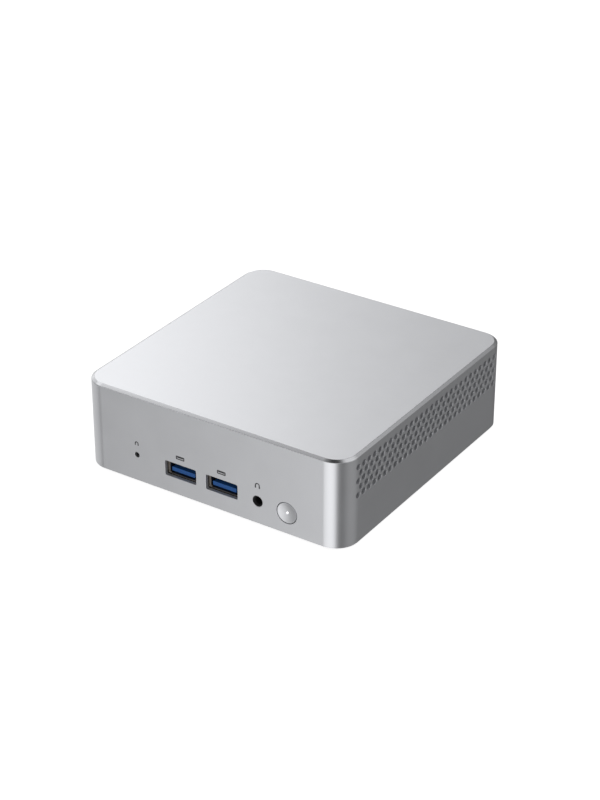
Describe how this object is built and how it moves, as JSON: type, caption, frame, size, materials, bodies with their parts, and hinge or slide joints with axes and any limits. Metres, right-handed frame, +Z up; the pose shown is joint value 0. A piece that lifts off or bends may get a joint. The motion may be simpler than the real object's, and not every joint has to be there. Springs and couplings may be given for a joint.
{
  "type": "mini pc",
  "caption": "Low square mini desktop computer in a silver aluminium case with rounded corners, perforated sides, front ports and a round power button.",
  "frame": {"origin": "on the table under the middle of the case, in the plane of the rubber feet", "axes": "+Z up, the front panel with the power button faces -Y, +X to the right seen from the front"},
  "size_m": [0.128, 0.128, 0.042],
  "materials": {
    "silver_aluminium": "bead-blasted and anodised silver",
    "black_plastic": "fine moulded texture",
    "grey_plastic": "moulded",
    "black_rubber": "matt",
    "plated_steel": "nickel plated",
    "blue_plastic": "moulded blue",
    "lit_lens": "milky light guide",
    "green_board": "green solder mask",
    "black_board": "black solder mask",
    "bare_chip": "moulded chip package",
    "copper": "bare copper",
    "brass": "turned"
  },
  "bodies": {
    "chassis": {"top_housing": "silver_aluminium", "bottom_cover": "black_plastic", "foot_front_left": "black_rubber", "foot_front_right": "black_rubber", "foot_rear_left": "black_rubber", "foot_rear_right": "black_rubber", "cover_screw_front_left": "plated_steel", "cover_screw_front_right": "plated_steel", "cover_screw_rear_left": "plated_steel", "cover_screw_rear_right": "plated_steel", "board_screw_front_left": "plated_steel", "board_screw_front_right": "plated_steel", "board_screw_rear_left": "plated_steel", "board_screw_rear_right": "plated_steel", "front_port_left_shell": "plated_steel", "front_port_left_tongue": "blue_plastic", "front_port_right_shell": "plated_steel", "front_port_right_tongue": "blue_plastic", "audio_jack": "black_plastic", "microphone": "black_rubber", "power_button_guide": "black_plastic", "power_switch_body": "black_plastic", "rear_io_panel": "black_plastic", "dc_jack": "black_plastic", "oval_port_shell": "plated_steel", "oval_port_tongue": "black_plastic", "video_port_shell": "plated_steel", "video_port_tongue": "black_plastic", "lan_jack": "plated_steel", "rear_port_left_shell": "plated_steel", "rear_port_left_tongue": "blue_plastic", "rear_port_right_shell": "plated_steel", "rear_port_right_tongue": "blue_plastic", "mainboard": "green_board", "processor": "bare_chip", "cold_plate": "copper", "heat_pipe": "copper", "fin_stack": "silver_aluminium", "fan_frame": "black_plastic", "fan_inlet_plate": "black_plastic", "fan_bearing": "brass", "fan_coils": "copper", "memory_socket": "black_plastic", "memory_module": "green_board", "ssd_socket": "black_plastic", "ssd_module": "black_board", "ssd_screw": "plated_steel", "wireless_socket": "black_plastic", "wireless_card": "black_board", "antenna_left": "copper", "antenna_right": "copper", "antenna_lead_left": "black_plastic", "antenna_lead_right": "black_plastic", "coin_cell": "plated_steel"},
    "power_button": {"power_button_cap": "silver_aluminium", "power_button_lens": "lit_lens", "power_switch_plunger": "grey_plastic"},
    "fan_wheel": {"fan_rotor": "black_plastic"},
    "latch_left": {"memory_latch_left": "plated_steel"},
    "latch_right": {"memory_latch_right": "plated_steel"}
  },
  "joints": [
    {"name": "power_button_press", "type": "slide", "parent": "chassis", "child": "power_button", "axis": [0, 1, 0], "range_m": [0, 0.0006], "stiffness_N_per_m": 1000, "springref_m": -0.0005},
    {"name": "fan_spin", "type": "hinge", "parent": "chassis", "child": "fan_wheel", "pos_m": [0.016, -0.012, 0.034], "axis": [0, 0, 1], "continuous": true},
    {"name": "latch_left_flex", "type": "hinge", "parent": "chassis", "child": "latch_left", "pos_m": [-0.0199, -0.038, 0.0126], "axis": [0, 0, 1], "range_deg": [0, 8], "stiffness_Nm_per_rad": 0.05},
    {"name": "latch_right_flex", "type": "hinge", "parent": "chassis", "child": "latch_right", "pos_m": [0.0499, -0.038, 0.0126], "axis": [0, 0, -1], "range_deg": [0, 8], "stiffness_Nm_per_rad": 0.05}
  ]
}
